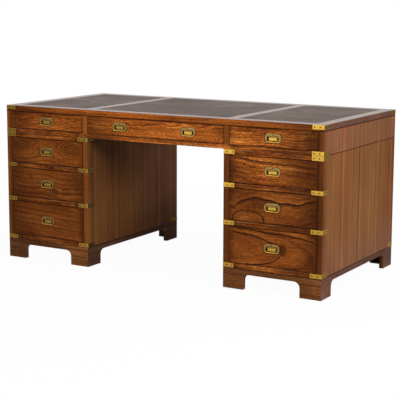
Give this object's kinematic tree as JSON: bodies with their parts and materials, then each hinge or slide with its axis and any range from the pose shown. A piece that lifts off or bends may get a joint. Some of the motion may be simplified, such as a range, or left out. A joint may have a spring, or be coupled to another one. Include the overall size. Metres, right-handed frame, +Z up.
{
  "type": "partners desk",
  "caption": "Campaign-style pedestal desk with a leather-lined top, flush-handled drawers to the front and a cupboard door at the back of each pedestal.",
  "frame": {"origin": "on the floor, under the middle of the desk", "axes": "+X to the right as seen from the drawer side, +Y away from the drawer side, +Z up"},
  "size_m": [1.756, 0.839, 0.78],
  "materials": {
    "case_wood": "satin lacquer over figured reddish-brown hardwood",
    "drawer_wood": "satin lacquered figured front on a plain drawer box",
    "leather": "black-brown desk leather, soft sheen",
    "brass": "polished, lightly aged"
  },
  "bodies": {
    "case": {"top_board": "case_wood", "left_leather": "leather", "centre_leather": "leather", "right_leather": "leather", "frieze_base": "case_wood", "frieze_spine": "case_wood", "rear_frieze_panel": "case_wood", "left_frieze_end": "case_wood", "left_frieze_divider": "case_wood", "left_outer_side": "case_wood", "left_inner_side": "case_wood", "left_cap_board": "case_wood", "left_upper_rail_board": "case_wood", "left_lower_rail_board": "case_wood", "left_bottom_board": "case_wood", "left_partition": "case_wood", "left_plinth": "case_wood", "left_cupboard_hinge": "brass", "right_frieze_end": "case_wood", "right_frieze_divider": "case_wood", "right_outer_side": "case_wood", "right_inner_side": "case_wood", "right_cap_board": "case_wood", "right_upper_rail_board": "case_wood", "right_lower_rail_board": "case_wood", "right_bottom_board": "case_wood", "right_partition": "case_wood", "right_plinth": "case_wood", "right_cupboard_hinge": "brass"},
    "centre_frieze_left_pull": {"centre_frieze_left_pull": "brass"},
    "centre_frieze_right_pull": {"centre_frieze_right_pull": "brass"},
    "centre_frieze_drawer": {"centre_frieze_drawer": "drawer_wood", "centre_frieze_left_handle_plate": "brass", "centre_frieze_right_handle_plate": "brass"},
    "left_frieze_pull": {"left_frieze_pull": "brass"},
    "left_frieze_drawer": {"left_frieze_drawer": "drawer_wood", "left_frieze_handle_plate": "brass"},
    "left_upper_pull": {"left_upper_pull": "brass"},
    "left_upper_drawer": {"left_upper_drawer": "drawer_wood", "left_upper_handle_plate": "brass"},
    "left_middle_pull": {"left_middle_pull": "brass"},
    "left_middle_drawer": {"left_middle_drawer": "drawer_wood", "left_middle_handle_plate": "brass"},
    "left_lower_pull": {"left_lower_pull": "brass"},
    "left_lower_drawer": {"left_lower_drawer": "drawer_wood", "left_lower_handle_plate": "brass"},
    "right_frieze_pull": {"right_frieze_pull": "brass"},
    "right_frieze_drawer": {"right_frieze_drawer": "drawer_wood", "right_frieze_handle_plate": "brass"},
    "right_upper_pull": {"right_upper_pull": "brass"},
    "right_upper_drawer": {"right_upper_drawer": "drawer_wood", "right_upper_handle_plate": "brass"},
    "right_middle_pull": {"right_middle_pull": "brass"},
    "right_middle_drawer": {"right_middle_drawer": "drawer_wood", "right_middle_handle_plate": "brass"},
    "right_lower_pull": {"right_lower_pull": "brass"},
    "right_lower_drawer": {"right_lower_drawer": "drawer_wood", "right_lower_handle_plate": "brass"},
    "left_cupboard_door": {"left_cupboard_door": "case_wood"},
    "right_cupboard_door": {"right_cupboard_door": "case_wood"}
  },
  "joints": [
    {"name": "centre_frieze_slide", "type": "slide", "parent": "case", "child": "centre_frieze_drawer", "axis": [0, -1, 0], "range_m": [0, 0.36]},
    {"name": "centre_frieze_left_pull_hinge", "type": "hinge", "parent": "centre_frieze_drawer", "child": "centre_frieze_left_pull", "pos_m": [-0.19075, -0.4125, 0.713], "axis": [-1, 0, 0], "range_deg": [0, 90]},
    {"name": "centre_frieze_right_pull_hinge", "type": "hinge", "parent": "centre_frieze_drawer", "child": "centre_frieze_right_pull", "pos_m": [0.19075, -0.4125, 0.713], "axis": [-1, 0, 0], "range_deg": [0, 90]},
    {"name": "left_frieze_slide", "type": "slide", "parent": "case", "child": "left_frieze_drawer", "axis": [0, -1, 0], "range_m": [0, 0.36]},
    {"name": "left_frieze_pull_hinge", "type": "hinge", "parent": "left_frieze_drawer", "child": "left_frieze_pull", "pos_m": [-0.62975, -0.4125, 0.713], "axis": [-1, 0, 0], "range_deg": [0, 90]},
    {"name": "left_upper_slide", "type": "slide", "parent": "case", "child": "left_upper_drawer", "axis": [0, -1, 0], "range_m": [0, 0.36]},
    {"name": "left_upper_pull_hinge", "type": "hinge", "parent": "left_upper_drawer", "child": "left_upper_pull", "pos_m": [-0.62975, -0.4125, 0.56225], "axis": [-1, 0, 0], "range_deg": [0, 90]},
    {"name": "left_middle_slide", "type": "slide", "parent": "case", "child": "left_middle_drawer", "axis": [0, -1, 0], "range_m": [0, 0.36]},
    {"name": "left_middle_pull_hinge", "type": "hinge", "parent": "left_middle_drawer", "child": "left_middle_pull", "pos_m": [-0.62975, -0.4125, 0.399], "axis": [-1, 0, 0], "range_deg": [0, 90]},
    {"name": "left_lower_slide", "type": "slide", "parent": "case", "child": "left_lower_drawer", "axis": [0, -1, 0], "range_m": [0, 0.36]},
    {"name": "left_lower_pull_hinge", "type": "hinge", "parent": "left_lower_drawer", "child": "left_lower_pull", "pos_m": [-0.62975, -0.4125, 0.21275], "axis": [-1, 0, 0], "range_deg": [0, 90]},
    {"name": "right_frieze_slide", "type": "slide", "parent": "case", "child": "right_frieze_drawer", "axis": [0, -1, 0], "range_m": [0, 0.36]},
    {"name": "right_frieze_pull_hinge", "type": "hinge", "parent": "right_frieze_drawer", "child": "right_frieze_pull", "pos_m": [0.62975, -0.4125, 0.713], "axis": [-1, 0, 0], "range_deg": [0, 90]},
    {"name": "right_upper_slide", "type": "slide", "parent": "case", "child": "right_upper_drawer", "axis": [0, -1, 0], "range_m": [0, 0.36]},
    {"name": "right_upper_pull_hinge", "type": "hinge", "parent": "right_upper_drawer", "child": "right_upper_pull", "pos_m": [0.62975, -0.4125, 0.56225], "axis": [-1, 0, 0], "range_deg": [0, 90]},
    {"name": "right_middle_slide", "type": "slide", "parent": "case", "child": "right_middle_drawer", "axis": [0, -1, 0], "range_m": [0, 0.36]},
    {"name": "right_middle_pull_hinge", "type": "hinge", "parent": "right_middle_drawer", "child": "right_middle_pull", "pos_m": [0.62975, -0.4125, 0.399], "axis": [-1, 0, 0], "range_deg": [0, 90]},
    {"name": "right_lower_slide", "type": "slide", "parent": "case", "child": "right_lower_drawer", "axis": [0, -1, 0], "range_m": [0, 0.36]},
    {"name": "right_lower_pull_hinge", "type": "hinge", "parent": "right_lower_drawer", "child": "right_lower_pull", "pos_m": [0.62975, -0.4125, 0.21275], "axis": [-1, 0, 0], "range_deg": [0, 90]},
    {"name": "left_door_hinge", "type": "hinge", "parent": "case", "child": "left_cupboard_door", "pos_m": [-0.851, 0.418, 0.3705], "axis": [0, 0, 1], "range_deg": [0, 110]},
    {"name": "right_door_hinge", "type": "hinge", "parent": "case", "child": "right_cupboard_door", "pos_m": [0.851, 0.418, 0.3705], "axis": [0, 0, -1], "range_deg": [0, 110]}
  ]
}
